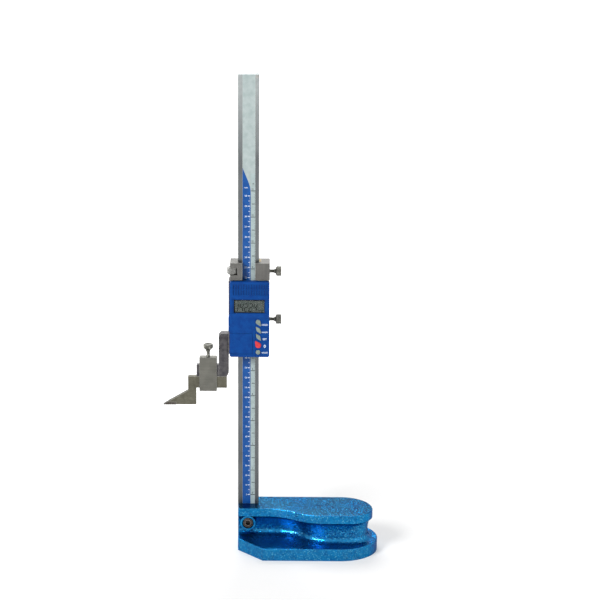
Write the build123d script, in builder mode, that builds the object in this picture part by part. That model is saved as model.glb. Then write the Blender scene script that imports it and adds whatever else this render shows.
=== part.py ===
from build123d import *
import os
from math import cos, radians, sin

# Digital height gauge, millimetres. +X right, +Y away from the user, +Z up.
# Origin: on the table, below the axis of the column.

# ---- fits ----
slide_gap = 0.1            # between flat faces that slide on each other
tip_gap = 0.2              # radial, round a screw's tip in its dimple
seat_gap = 0.05            # round a piece that sits in its pocket
thread_gap = 0.05          # radial, between a screw and its thread

# ---- column ----
beam_width = 20.0
beam_depth = 9.0
beam_top = 466.3           # height of the column above the table
beam_corner = 0.4
strip_width = 12.0         # scale strip in its groove
strip_thickness = 0.3
strip_sink = 0.1           # the strip lies this far under the column's face
strip_x = 0.4

# ---- base casting ----
base_height = 41.0
base_end = 9.6             # from the column's axis to the flat end
sole_thickness = 12.0
sole_radius = 35.8         # round end of the sole
sole_cut_x = 24.6          # slanted front corner
sole_cut_y = 27.5
round_x = 90.3             # centre of the round end
round_y = -15.6
grip_flange = 8.0          # flange on top of the grip
grip_radius = 31.0
belly = 21.9               # from the round centre to the flange's front
neck_front = 18.5          # from the column's axis to the neck's front
waist_start = 17.3         # the flange's S-curve runs between these two
waist_end = 74.4
cove_depth = 4.6           # hollow under the flange, round the belly
neck_cove = 9.3            # hollow under the flange, at the neck
cove_waist_start = 30.0
cove_waist_end = 80.0
cove_rise = 8.0            # the grip stands upright this far above the sole
cove_angles = (0, 30, 60, 90)   # levels of the hollow's quarter ellipse
grip_fillet = 5.0          # where the grip meets the sole
edge_fillet = 1.0
socket_floor = 8.0         # the column stands in a socket this far above the table
relief_depth = 1.5         # hollow under the sole
sole_land = 11.0           # width of the sole's land round the hollow
relief_start = 16.0

# ---- column clamp screw (M6 socket head) ----
clamp_height = 25.6
clamp_thread = 3.0         # radius
clamp_head = 5.0
clamp_head_length = 6.0
clamp_socket = 2.5
clamp_socket_depth = 3.0
clamp_head_chamfer = 0.5
clamp_head_gap = 0.65      # round the head in its counterbore
clamp_sink = 6.4           # depth of the counterbore
clamp_bite = 6.0           # how far the thread enters the column
boss_radius = 7.3
boss_front = 17.8

# ---- stop screw at the top of the column ----
stop_head = 1.5
stop_head_length = 0.9
stop_thread = 0.8
stop_length = 3.0
stop_drop = 2.0            # below the column's top
stop_inset = 1.75          # from the column's right edge
stop_chamfer = 0.3

# ---- heights of the slider at rest ----
rest_height = 142.24       # underside of the scriber above the table
blade_height = 28.9        # scriber, from its underside to its top face
jaw_drop = 23.1            # jaw, below the foot of the housing
housing_height = 73.9
carriage_rise = 1.1        # gap between the slider and the carriage

# ---- slider frame ----
frame_left = 19.0
frame_right = 19.6
frame_front = 7.0
frame_inset = 0.5          # the frame is this much lower than the housing, top and bottom
gib_thickness = 1.8
gib_sag = 1.4              # the gib is this much shorter than its frame, each end
rear_plate_thickness = 3.2
window_margin = 10.0       # frame above and below the reading window
strip_window = 12.8        # width of the slot over the scale strip

# ---- jaw and arm ----
jaw_left = 28.5
jaw_right = 18.9
jaw_depth = 9.0
jaw_rise = 20.2            # the jaw reaches this far above the foot of the housing
jaw_corner = 2.4
jaw_heel_x = 1.8
jaw_heel_z = 3.8
jaw_root = 4.0             # the jaw's tongue inside the frame
arm_end = 50.0
arm_height = 11.7
arm_front = 4.0
arm_depth = 5.0

# ---- scriber and its carbide tip ----
scriber_right = 20.7
scriber_bar = 11.6
blade_right = 50.3
blade_left = 58.2
blade_notch = 14.3         # height of the blade's left corner above its underside
tip_reach = 82.2
tip_length = 12.3
tip_height = 2.4
tip_proud = 0.3
tip_width = 3.6            # left at the point after the back is bevelled
tip_bevel_length = 6.1

# ---- scriber clamp ----
clamp_box_right = 30.3
clamp_box_width = 16.9
clamp_wall = 1.4
clamp_box_floor = 2.9
clamp_box_roof = 5.9
clamp_box_room = 1.7       # free height above the arm
clamp_box_corner = 0.4

# ---- knurled thumbscrews ----
thumb_thread = 1.75        # radius
thumb_tip = 1.25
thumb_tip_length = 1.0
thumb_head = 4.7
thumb_head_length = 5.7
thumb_collar = 2.2
thumb_collar_length = 1.2
thumb_neck = 5.4           # bare thread between the body and the head
thumb_cone = 0.9           # length of the cone at the inner end of the head
thumb_chamfer = 0.35
clamp_thumb_neck = 6.7     # the scriber clamp's screw
clamp_thumb_cone = 2.2
dimple = 0.5               # depth of the dimple that takes a screw's tip

# ---- carriage and fine adjustment ----
carriage_left = 17.5
carriage_right = 20.3
carriage_front = 10.5
carriage_height = 16.8
carriage_back_wall = 3.6
carriage_screw_rise = 6.5
carriage_corner = 0.5
pitch_x = 15.8             # axis of the fine-adjustment rod, left of the column's axis
pitch_y = 4.8              # and in front of it
rod_radius = 1.25
rod_sunk = 8.0             # length of the rod inside the frame
rod_top_gap = 1.2          # room for the fine adjustment's upward travel
rod_gap = 0.2              # radial, round the rod in the carriage's slot
rod_chamfer = 0.3
nut_radius = 4.5
nut_height = 6.8
nut_gap = 0.2
nut_chamfer = 0.5
pocket_rise = 4.6          # floor of the nut's window above the carriage's underside
pocket_wall = 0.9          # between the window and the column
pocket_chamfer = 1.0
roof = 1.4                 # above the rod's slot

# ---- slider screws ----
lock_rise = 33.8           # axis of the lock screw above the foot of the housing
gib_screw_radius = 1.5
gib_screw_rise = 17.7      # lower one, above the foot of the housing
gib_screw_drop = 18.2      # upper one, below its top
gib_screw_hex = 0.75
gib_screw_hex_depth = 1.5
body_screw_left = 14.5
body_screw_right = 15.8
body_screw_rise = 8.7      # lower pair, above the foot of the housing
body_screw_drop = 11.2     # upper pair, below its top
body_screw_radius = 1.25
body_screw_head = 2.25
body_screw_head_length = 2.0
body_screw_bite = 5.0
body_screw_sink = 2.2
body_screw_slot = 0.6
body_screw_gap = 0.2       # round the head in its counterbore

# ---- display housing ----
housing_left = 17.7
housing_right = 20.2
upper_front = 13.5
lower_front = 15.5
step_low = 40.1            # the front steps back between these two heights
step_high = 42.5
housing_wall = 1.5
housing_corner = 1.8
housing_edge = 0.7
thumb_rest_low = 24.7
thumb_rest_high = 40.7
thumb_rest_out = 1.2
thumb_rest_inset = 1.2
thumb_rest_run = 1.0       # length of its sloping ends
boss_outer = 2.4
rib_pitch = 2.45
rib_count = 14
rib_groove = 1.0
rib_depth = 0.6
rib_drops = (10.5, 4.8)    # middles of the two rows, below the top of the housing
rib_length = 5.0
rib_x = 1.9                # middle of the rows

# ---- display window ----
window_left = 13.9
window_right = 15.7
window_low = 43.3
window_drop = 17.5         # top of the window below the top of the housing
bezel_side = 1.1           # recess round the window, at its sides
bezel_end = 0.55           # and above and below it
bezel_depth = 0.5
lens_margin = 1.0
lens_thickness = 0.9
lens_rest = 0.9            # the lens lies this far behind the housing's front

# ---- electronics ----
board_thickness = 1.0
board_left = 16.0
board_right = 18.5
board_margin = 2.2
board_notch = 0.4
lcd_gap = 0.1              # between the lens and the display
lcd_thickness = 1.4
lcd_margin = 0.6
zebra_width = 2.0
zebra_inset = 1.0
head_thickness = 2.1       # reading head behind the board
head_side = 0.5
head_end = 1.0
chip_size = 7.0
chip_x = -3.5
chip_height = 1.0
chip_rise = 33.5

# ---- battery and its cover ----
cell_x = -6.6
cell_rise = 13.5
cell_radius = 5.8
cell_height = 5.4
cell_gap = 0.4
well_wall = 1.0
contact_thickness = 0.3
contact_width = 4.0
cover_right = 4.2
cover_low = 3.3
cover_high = 23.6
cover_thickness = 1.1
cover_lip = 0.5
cover_lip_thickness = 0.4
cover_gap = 0.25
cover_shelf = 1.2

# ---- keys ----
panel_left = 6.9
panel_top = 38.7
panel_depth = 0.4
key_proud = 0.9            # above the panel
key_gap = 0.2
key_flange = 0.5
key_flange_thickness = 0.8
key_travel = 0.6
key_play = 0.2             # left between key and mat at the end of the travel
key_stem = 1.0
mat_thickness = 1.2
mat_left = 6.0
mat_right = 13.4
mat_low = 2.4
mat_high = 38.0
key_corner = 0.45          # radius of a key's drawn-out corners
top_key_x = 9.5
top_key_rise = 35.1
top_key_radius = 2.2
top_key_tail = (2.2, -3.6)
leaf_key_x = 9.8
leaf_key_rise = 20.1       # lower leaf key
leaf_key_pitch = 7.1
leaf_key_radius = 1.8
leaf_key_head = (-2.0, 2.6)
leaf_key_tail = (2.0, -2.9)
zero_key_x = 9.6
zero_key_rise = 12.0
zero_key_radius = 2.7
zero_key_head = (-2.5, 3.7)
power_key_x = 9.45
power_key_rise = 5.0
power_key_radius = 2.1

# ---- places that follow from the sizes above ----
half_beam = beam_width / 2
beam_front = beam_depth / 2
guide = half_beam + slide_gap                 # inner side of every channel
guide_back = beam_front + slide_gap
gib_outer = guide + gib_thickness
channel_right = gib_outer + seat_gap
thumb_tip_x = gib_outer - dimple + seat_gap
gib_screw_rises = (gib_screw_rise, housing_height - gib_screw_drop)
body_screw_rises = (body_screw_rise, housing_height - body_screw_drop)
groove_depth = strip_thickness + strip_sink
strip_front = beam_front - strip_sink
flange_under = base_height - grip_flange
jaw_foot = rest_height + blade_height + seat_gap
housing_foot = jaw_foot + jaw_drop
housing_top = housing_foot + housing_height
frame_foot = housing_foot + frame_inset
frame_top = housing_top - frame_inset
frame_height = frame_top - frame_foot
carriage_foot = housing_top + carriage_rise
carriage_top = carriage_foot + carriage_height
carriage_back = guide_back + carriage_back_wall
rear_face = guide_back + rear_plate_thickness
strip_window_left = strip_window / 2 - strip_x
strip_window_right = strip_window / 2 + strip_x
arm_top = jaw_foot + arm_height
scriber_top = rest_height + blade_height
bar_foot = scriber_top - scriber_bar
board_front = frame_front + board_thickness
lens_front = upper_front - lens_rest
lens_back = lens_front - lens_thickness
lcd_front = lens_back - lcd_gap
lcd_back = lcd_front - lcd_thickness
panel_front = lower_front - panel_depth
lower_inside = lower_front - housing_wall
upper_inside = upper_front - housing_wall
carriage_screw_height = carriage_foot + carriage_screw_rise
lock_height = housing_foot + lock_rise
pocket_floor = carriage_foot + pocket_rise
pocket_height = nut_height + 2 * nut_gap
pocket_right = guide + pocket_wall

os.makedirs("parts", exist_ok=True)


def finish(piece, name):
    piece.part.label = name
    export_step(piece.part, f"parts/{name}.step")


def front_plane(distance, x=0.0, z=0.0):
    # a plane that faces the user, this far in front of the column's axis
    return Plane(origin=(x, -distance, z), x_dir=(1, 0, 0), z_dir=(0, -1, 0))


def box_between(left, right, front, back, low, high, mode=Mode.ADD):
    # a block given by its faces; front and back count towards the user
    with Locations(((left + right) / 2, -(front + back) / 2, (low + high) / 2)):
        Box(right - left, front - back, high - low, mode=mode)


# ================= base casting =================

def sole_outline(inset=0.0):
    left = -base_end + inset
    front = round_y - sole_radius + inset
    back = round_y + sole_radius - inset
    corner_y = round_y - sole_radius + sole_cut_y + inset
    with BuildLine() as outline:
        end_line = Line((left, back), (left, corner_y))
        slant = Line(end_line @ 1, (-base_end + sole_cut_x, front))
        front_line = Line(slant @ 1, (round_x, front))
        end_arc = ThreePointArc(
            front_line @ 1, (round_x + sole_radius - inset, round_y), (round_x, back)
        )
        Line(end_arc @ 1, end_line @ 0)
    make_face(outline.edges())


def grip_outline(cove):
    # one level of the grip: cove is 0 at the flange and 1 where the hollow is deepest
    left = -base_end
    neck_y = -neck_front + cove * neck_cove
    belly_y = round_y - belly + cove * cove_depth
    back_y = round_y + grip_radius - cove * cove_depth
    end_x = round_x + grip_radius - cove * cove_depth
    start_x = waist_start + cove * (cove_waist_start - waist_start)
    finish_x = waist_end + cove * (cove_waist_end - waist_end)
    middle = ((start_x + finish_x) / 2, (neck_y + belly_y) / 2)
    corner_x = end_x - (round_y - belly_y)
    with BuildLine() as outline:
        end_line = Line((left, back_y), (left, neck_y))
        neck_line = Line(end_line @ 1, (start_x, neck_y))
        waist_out = TangentArc(neck_line @ 1, middle, tangent=neck_line % 1)
        waist_in = TangentArc(waist_out @ 1, (finish_x, belly_y), tangent=waist_out % 1)
        belly_line = Line(waist_in @ 1, (corner_x, belly_y))
        corner = TangentArc(belly_line @ 1, (end_x, round_y), tangent=belly_line % 1)
        end_arc = TangentArc(corner @ 1, (round_x, back_y), tangent=corner % 1)
        Line(end_arc @ 1, end_line @ 0)
    make_face(outline.edges())


def on_flat_end(edge):
    return edge.center().X < -base_end + seat_gap


with BuildPart() as base:
    with BuildSketch():
        sole_outline()
    extrude(amount=sole_thickness)
    sole_rim = base.faces().sort_by(Axis.Z)[-1].edges()
    fillet([edge for edge in sole_rim if not on_flat_end(edge)], radius=edge_fillet)
    cove_foot = sole_thickness + cove_rise
    with BuildSketch():
        grip_outline(1.0)
    extrude(amount=cove_foot)
    grip_walls = base.faces().filter_by(lambda face: face.center().Z > sole_thickness + seat_gap)
    grip_feet = grip_walls.edges().filter_by(
        lambda edge: abs(edge.center().Z - sole_thickness) < seat_gap and not on_flat_end(edge)
    )
    fillet(grip_feet, radius=grip_fillet)
    for angle in cove_angles:
        level = cove_foot + (flange_under - cove_foot) * sin(radians(angle))
        with BuildSketch(Plane.XY.offset(level)):
            grip_outline(cos(radians(angle)))
    loft()
    with BuildSketch(Plane.XY.offset(flange_under)):
        grip_outline(0.0)
    extrude(amount=grip_flange)
    fillet(base.faces().sort_by(Axis.Z)[-1].edges(), radius=edge_fillet)
    with BuildSketch(front_plane(boss_front)):
        with Locations((0, clamp_height)):
            Circle(boss_radius)
    extrude(amount=-(boss_front - beam_front))
    with BuildSketch(Plane.XY.offset(socket_floor)):
        Rectangle(beam_width + 2 * seat_gap, beam_depth + 2 * seat_gap)
    extrude(amount=base_height - socket_floor, mode=Mode.SUBTRACT)
    with Locations(front_plane(boss_front, z=clamp_height)):
        CounterBoreHole(
            radius=clamp_thread + thread_gap,
            counter_bore_radius=clamp_head + clamp_head_gap,
            counter_bore_depth=clamp_sink,
            depth=boss_front - beam_front,
        )
    with BuildSketch():
        sole_outline(inset=sole_land)
        with Locations((relief_start, round_y)):
            Rectangle(
                round_x + sole_radius, 2 * sole_radius, align=(Align.MIN, Align.CENTER),
                mode=Mode.INTERSECT,
            )
    extrude(amount=relief_depth, mode=Mode.SUBTRACT)
finish(base, "base")

with BuildPart() as beam_clamp_screw:
    head_back = boss_front - clamp_sink
    with BuildSketch(front_plane(head_back, z=clamp_height)):
        Circle(clamp_head)
    extrude(amount=clamp_head_length)
    chamfer(beam_clamp_screw.edges().sort_by(Axis.Y)[0], length=clamp_head_chamfer)
    with BuildSketch(front_plane(head_back, z=clamp_height)):
        Circle(clamp_thread)
    extrude(amount=-(head_back - beam_front + clamp_bite))
    with BuildSketch(front_plane(head_back + clamp_head_length, z=clamp_height)):
        RegularPolygon(clamp_socket, 6, major_radius=False)
    extrude(amount=-clamp_socket_depth, mode=Mode.SUBTRACT)
finish(beam_clamp_screw, "beam_clamp_screw")

# ================= column =================

stop_x = half_beam - stop_inset
stop_z = beam_top - stop_drop

with BuildPart() as beam:
    with BuildSketch(Plane.XY.offset(socket_floor)) as beam_section:
        Rectangle(beam_width, beam_depth)
        chamfer(beam_section.vertices(), length=beam_corner)
        with Locations((strip_x, -beam_front)):
            Rectangle(
                strip_width + 2 * seat_gap, groove_depth, align=(Align.CENTER, Align.MIN),
                mode=Mode.SUBTRACT,
            )
    extrude(amount=beam_top - socket_floor)
    with Locations(front_plane(beam_front, z=clamp_height)):
        Hole(radius=clamp_thread + thread_gap, depth=clamp_bite + seat_gap)
    with Locations(front_plane(beam_front, x=stop_x, z=stop_z)):
        Hole(radius=stop_thread + thread_gap, depth=stop_length + seat_gap)
finish(beam, "beam")

with BuildPart() as scale_strip:
    box_between(
        strip_x - strip_width / 2, strip_x + strip_width / 2,
        strip_front, strip_front - strip_thickness,
        base_height, beam_top,
    )
finish(scale_strip, "scale_strip")

with BuildPart() as beam_stop_screw:
    with BuildSketch(front_plane(beam_front, x=stop_x, z=stop_z)):
        Circle(stop_head)
    extrude(amount=stop_head_length)
    chamfer(beam_stop_screw.edges().sort_by(Axis.Y)[0], length=stop_chamfer)
    with BuildSketch(front_plane(beam_front, x=stop_x, z=stop_z)):
        Circle(stop_thread)
    extrude(amount=-stop_length)
finish(beam_stop_screw, "beam_stop_screw")

# ================= thumbscrews =================

def thumbscrew(plane, threaded, neck, cone=thumb_cone):
    # a knurled screw along the plane's x direction: its tip starts at the plane's origin,
    # threaded is the length inside the piece, neck the bare length in front of it
    head_start = threaded + neck
    head_end = head_start + thumb_head_length
    with BuildPart() as screw:
        with BuildSketch(plane):
            with BuildLine():
                Polyline(
                    (0, 0), (0, thumb_tip), (thumb_tip_length, thumb_tip),
                    (thumb_tip_length, thumb_thread),
                    (head_start - thumb_collar_length, thumb_thread),
                    (head_start - thumb_collar_length, thumb_collar), (head_start, thumb_collar),
                    (head_start + cone, thumb_head),
                    (head_end - thumb_chamfer, thumb_head),
                    (head_end, thumb_head - thumb_chamfer), (head_end, 0), close=True,
                )
            make_face()
        revolve(axis=Axis(plane.origin, plane.x_dir))
    return screw


def side_plane(tip_x, height):
    return Plane(origin=(tip_x, 0, height), x_dir=(1, 0, 0), z_dir=(0, -1, 0))


# ================= carriage and fine adjustment =================

with BuildPart() as carriage:
    with BuildSketch(Plane.XY.offset(carriage_foot)) as carriage_section:
        with BuildLine():
            Polyline(
                (-carriage_left, -carriage_front), (-strip_window_left, -carriage_front),
                (-strip_window_left, -guide_back), (-guide, -guide_back), (-guide, guide_back),
                (channel_right, guide_back), (channel_right, -guide_back),
                (strip_window_right, -guide_back), (strip_window_right, -carriage_front),
                (carriage_right, -carriage_front), (carriage_right, carriage_back),
                (-carriage_left, carriage_back), close=True,
            )
        make_face()
    extrude(amount=carriage_height)
    corners = carriage.edges().filter_by(Axis.Z).filter_by(
        lambda edge: edge.center().X < -carriage_left + seat_gap
        or edge.center().X > carriage_right - seat_gap
    )
    chamfer(corners, length=carriage_corner)
    box_between(
        -carriage_left, -pocket_right, carriage_front, pitch_y - nut_radius - nut_gap,
        pocket_floor, pocket_floor + pocket_height, mode=Mode.SUBTRACT,
    )
    window_rim = carriage.edges().filter_by(
        lambda edge: abs(edge.center().Y + carriage_front) < seat_gap
        and -pocket_right - seat_gap <= edge.center().X < -pocket_right + seat_gap
        and edge.length < pocket_height + seat_gap
    )
    chamfer(window_rim, length=pocket_chamfer)
    with BuildSketch(Plane.XY.offset(carriage_foot)):
        with Locations((-pitch_x, -pitch_y)):
            Circle(rod_radius + rod_gap)
            Rectangle(
                pitch_x, 2 * (rod_radius + rod_gap), align=(Align.MAX, Align.CENTER)
            )
    extrude(amount=carriage_height - roof, mode=Mode.SUBTRACT)
    with Locations(Plane(origin=(carriage_right, 0, carriage_screw_height), z_dir=(1, 0, 0))):
        Hole(radius=thumb_thread + thread_gap, depth=carriage_right - channel_right)
finish(carriage, "carriage")

with BuildPart() as carriage_gib:
    box_between(
        guide, gib_outer, beam_front, -beam_front,
        carriage_foot + seat_gap, carriage_top - seat_gap,
    )
    with Locations(Plane(origin=(gib_outer, 0, carriage_screw_height), z_dir=(1, 0, 0))):
        Hole(radius=thumb_tip + tip_gap, depth=dimple)
finish(carriage_gib, "carriage_gib")

carriage_clamp_screw = thumbscrew(
    side_plane(thumb_tip_x, carriage_screw_height), carriage_right - thumb_tip_x, thumb_neck
)
finish(carriage_clamp_screw, "carriage_clamp_screw")

with BuildPart() as fine_adjust_nut:
    with BuildSketch(Plane.XY.offset(pocket_floor + nut_gap)):
        with Locations((-pitch_x, -pitch_y)):
            Circle(nut_radius)
            Circle(rod_radius + thread_gap, mode=Mode.SUBTRACT)
    extrude(amount=nut_height)
    chamfer(fine_adjust_nut.edges().filter_by(GeomType.CIRCLE).sort_by(SortBy.RADIUS)[-2:],
            length=nut_chamfer)
finish(fine_adjust_nut, "fine_adjust_nut")

with BuildPart() as fine_adjust_rod:
    with BuildSketch(Plane.XY.offset(frame_top - rod_sunk)):
        with Locations((-pitch_x, -pitch_y)):
            Circle(rod_radius)
    extrude(amount=rod_sunk + carriage_top - roof - rod_top_gap - frame_top)
    chamfer(fine_adjust_rod.edges().sort_by(Axis.Z)[-1], length=rod_chamfer)
finish(fine_adjust_rod, "fine_adjust_rod")

# ================= slider frame, jaw and arm =================

screw_spots = [
    (x, housing_foot + rise)
    for x in (-body_screw_left, body_screw_right)
    for rise in body_screw_rises
]

with BuildPart() as slider_frame:
    with BuildSketch(Plane.XY.offset(frame_foot)):
        with BuildLine():
            Polyline(
                (-frame_left, -frame_front), (frame_right, -frame_front),
                (frame_right, guide_back), (channel_right, guide_back),
                (channel_right, -guide_back), (-guide, -guide_back), (-guide, guide_back),
                (-frame_left, guide_back), close=True,
            )
        make_face()
    extrude(amount=frame_height)
    box_between(
        -strip_window_left, strip_window_right, frame_front, guide_back,
        frame_foot + window_margin, frame_top - window_margin, mode=Mode.SUBTRACT,
    )
    with BuildSketch(front_plane(jaw_depth / 2)):
        with BuildLine():
            Polyline(
                (-jaw_left, jaw_foot), (-jaw_right - jaw_heel_x, jaw_foot),
                (-jaw_right, jaw_foot + jaw_heel_z), (-jaw_right, frame_foot),
                (-jaw_right + jaw_root, frame_foot),
                (-jaw_right + jaw_root, housing_foot + jaw_rise),
                (-jaw_left + jaw_corner, housing_foot + jaw_rise),
                (-jaw_left, housing_foot + jaw_rise - jaw_corner), close=True,
            )
        make_face()
    extrude(amount=-jaw_depth)
    box_between(
        -arm_end, -jaw_left, arm_front, arm_front - arm_depth, jaw_foot, arm_top,
    )
    with Locations(Plane(origin=(-pitch_x, -pitch_y, frame_top), z_dir=(0, 0, 1))):
        Hole(radius=rod_radius + thread_gap, depth=rod_sunk)
    with Locations(Plane(origin=(frame_right, 0, lock_height), z_dir=(1, 0, 0))):
        Hole(radius=thumb_thread + thread_gap, depth=frame_right - channel_right)
    for rise in gib_screw_rises:
        with Locations(Plane(origin=(frame_right, 0, housing_foot + rise), z_dir=(1, 0, 0))):
            Hole(radius=gib_screw_radius + thread_gap, depth=frame_right - channel_right)
    for x, z in screw_spots:
        with Locations(front_plane(frame_front, x=x, z=z)):
            Hole(radius=body_screw_radius + thread_gap, depth=frame_front + guide_back)
finish(slider_frame, "slider_frame")

with BuildPart() as slider_gib:
    box_between(
        guide, gib_outer, beam_front, -beam_front, frame_foot + gib_sag, frame_top - gib_sag,
    )
    with Locations(Plane(origin=(gib_outer, 0, lock_height), z_dir=(1, 0, 0))):
        Hole(radius=thumb_tip + tip_gap, depth=dimple)
    for rise in gib_screw_rises:
        with Locations(Plane(origin=(gib_outer, 0, housing_foot + rise), z_dir=(1, 0, 0))):
            Hole(radius=gib_screw_radius + thread_gap, depth=dimple)
finish(slider_gib, "slider_gib")

with BuildPart() as gib_screws:
    for rise in gib_screw_rises:
        outer_end = Plane(origin=(frame_right, 0, housing_foot + rise), z_dir=(1, 0, 0))
        with BuildSketch(outer_end):
            Circle(gib_screw_radius)
        extrude(amount=-(frame_right - gib_outer + dimple))
        with BuildSketch(outer_end):
            RegularPolygon(gib_screw_hex, 6, major_radius=False)
        extrude(amount=-gib_screw_hex_depth, mode=Mode.SUBTRACT)
finish(gib_screws, "gib_screws")

slider_lock_screw = thumbscrew(
    side_plane(thumb_tip_x, lock_height), frame_right - thumb_tip_x,
    carriage_right - frame_right + thumb_neck,
)
finish(slider_lock_screw, "slider_lock_screw")

with BuildPart() as rear_plate:
    box_between(
        -frame_left, frame_right, -guide_back, -rear_face, frame_foot, frame_top,
    )
    chamfer(rear_plate.faces().sort_by(Axis.Y)[-1].edges(), length=carriage_corner)
    for x, z in screw_spots:
        with Locations(Plane(origin=(x, rear_face, z), z_dir=(0, 1, 0))):
            CounterBoreHole(
                radius=body_screw_radius + thread_gap,
                counter_bore_radius=body_screw_head + body_screw_gap,
                counter_bore_depth=body_screw_sink,
                depth=rear_plate_thickness,
            )
finish(rear_plate, "rear_plate")

screw_seat = rear_face - body_screw_sink

with BuildPart() as body_screws:
    for x, z in screw_spots:
        with BuildSketch(Plane(origin=(x, screw_seat, z), z_dir=(0, 1, 0))):
            Circle(body_screw_head)
        extrude(amount=body_screw_head_length)
        with BuildSketch(Plane(origin=(x, screw_seat, z), z_dir=(0, 1, 0))):
            Circle(body_screw_radius)
        extrude(amount=-(screw_seat + frame_front + body_screw_bite))
        with Locations((x, screw_seat + body_screw_head_length, z)):
            Box(2 * body_screw_head, body_screw_head_length, body_screw_slot, mode=Mode.SUBTRACT)
finish(body_screws, "body_screws")

# ================= scriber and its clamp =================

arm_back = arm_front - arm_depth
tip_x = -tip_reach
tip_slope = (blade_notch - tip_proud) / (tip_reach - blade_left)


def tip_bevel():
    # the wedge that is ground off behind the point
    with BuildSketch(Plane.XY.offset(rest_height)) as wedge:
        with BuildLine():
            Polyline(
                (tip_x, -arm_back), (tip_x, tip_width - arm_front),
                (tip_x + tip_bevel_length, -arm_back), close=True,
            )
        make_face()
    extrude(wedge.sketch, amount=blade_notch, mode=Mode.SUBTRACT)


with BuildPart() as scriber:
    with BuildSketch(front_plane(arm_front)):
        with BuildLine():
            Polyline(
                (-scriber_right, bar_foot), (-scriber_right, scriber_top),
                (-blade_left, scriber_top), (-blade_left, rest_height + blade_notch),
                (tip_x, rest_height + tip_proud), (-blade_right, rest_height + tip_proud),
                (-blade_right, bar_foot), close=True,
            )
        make_face()
        with BuildLine():
            Polyline(
                (tip_x, rest_height + tip_proud),
                (tip_x + tip_height / tip_slope, rest_height + tip_proud + tip_height),
                (tip_x + tip_length, rest_height + tip_proud + tip_height),
                (tip_x + tip_length, rest_height + tip_proud), close=True,
            )
        make_face(mode=Mode.SUBTRACT)
    extrude(amount=-arm_depth)
    tip_bevel()
finish(scriber, "scriber")

with BuildPart() as scriber_tip:
    with BuildSketch(front_plane(arm_front)):
        with BuildLine():
            Polyline(
                (tip_x, rest_height), (tip_x, rest_height + tip_proud),
                (tip_x + tip_height / tip_slope, rest_height + tip_proud + tip_height),
                (tip_x + tip_length, rest_height + tip_proud + tip_height),
                (tip_x + tip_length, rest_height), close=True,
            )
        make_face()
    extrude(amount=-arm_depth)
    tip_bevel()
finish(scriber_tip, "scriber_tip")

box_left = -clamp_box_right - clamp_box_width
box_front = arm_front + slide_gap + clamp_wall
box_back = arm_back - slide_gap - clamp_wall
box_foot = bar_foot - slide_gap - clamp_box_floor
box_ceiling = arm_top + clamp_box_room
box_top = box_ceiling + clamp_box_roof
box_axis = -clamp_box_right - clamp_box_width / 2

with BuildPart() as scriber_clamp:
    box_between(box_left, -clamp_box_right, box_front, box_back, box_foot, box_top)
    chamfer(scriber_clamp.edges(), length=clamp_box_corner)
    box_between(
        box_left, -clamp_box_right, arm_front + slide_gap, arm_back - slide_gap,
        bar_foot - slide_gap, box_ceiling, mode=Mode.SUBTRACT,
    )
    with Locations((box_axis, -(arm_front + arm_back) / 2, box_top)):
        Hole(radius=thumb_thread + thread_gap, depth=clamp_box_roof)
finish(scriber_clamp, "scriber_clamp")

screw_foot = arm_top + slide_gap
scriber_clamp_screw = thumbscrew(
    Plane(
        origin=(box_axis, -(arm_front + arm_back) / 2, screw_foot),
        x_dir=(0, 0, 1), z_dir=(0, -1, 0),
    ),
    box_top - screw_foot, clamp_thumb_neck, clamp_thumb_cone,
)
finish(scriber_clamp_screw, "scriber_clamp_screw")

# ================= display housing =================

cover_foot = housing_foot + cover_low
cover_head = housing_foot + cover_high
cover_back = lower_front - cover_thickness
shelf_back = cover_back - cover_gap - cover_shelf
cell_z = housing_foot + cell_rise
window_foot = housing_foot + window_low
window_head = housing_top - window_drop


def key_outline(key, spread=0.0):
    # a circle drawn out to its small corners, grown by spread
    x, rise, radius, corners = key
    middle = (x, housing_foot + rise)
    with Locations(middle):
        Circle(radius + spread)
    for corner_x, corner_z in corners:
        with Locations((middle[0] + corner_x, middle[1] + corner_z)):
            Circle(key_corner + spread)
    if corners:
        make_hull()


leaf_corners = (leaf_key_head, leaf_key_tail)
keys = {
    "key_hold": (top_key_x, top_key_rise, top_key_radius, (top_key_tail,)),
    "key_mm_inch": (leaf_key_x, leaf_key_rise + leaf_key_pitch, leaf_key_radius, leaf_corners),
    "key_set": (leaf_key_x, leaf_key_rise, leaf_key_radius, leaf_corners),
    "key_zero": (zero_key_x, zero_key_rise, zero_key_radius, (zero_key_head,)),
    "key_power": (power_key_x, power_key_rise, power_key_radius, ()),
}

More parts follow.
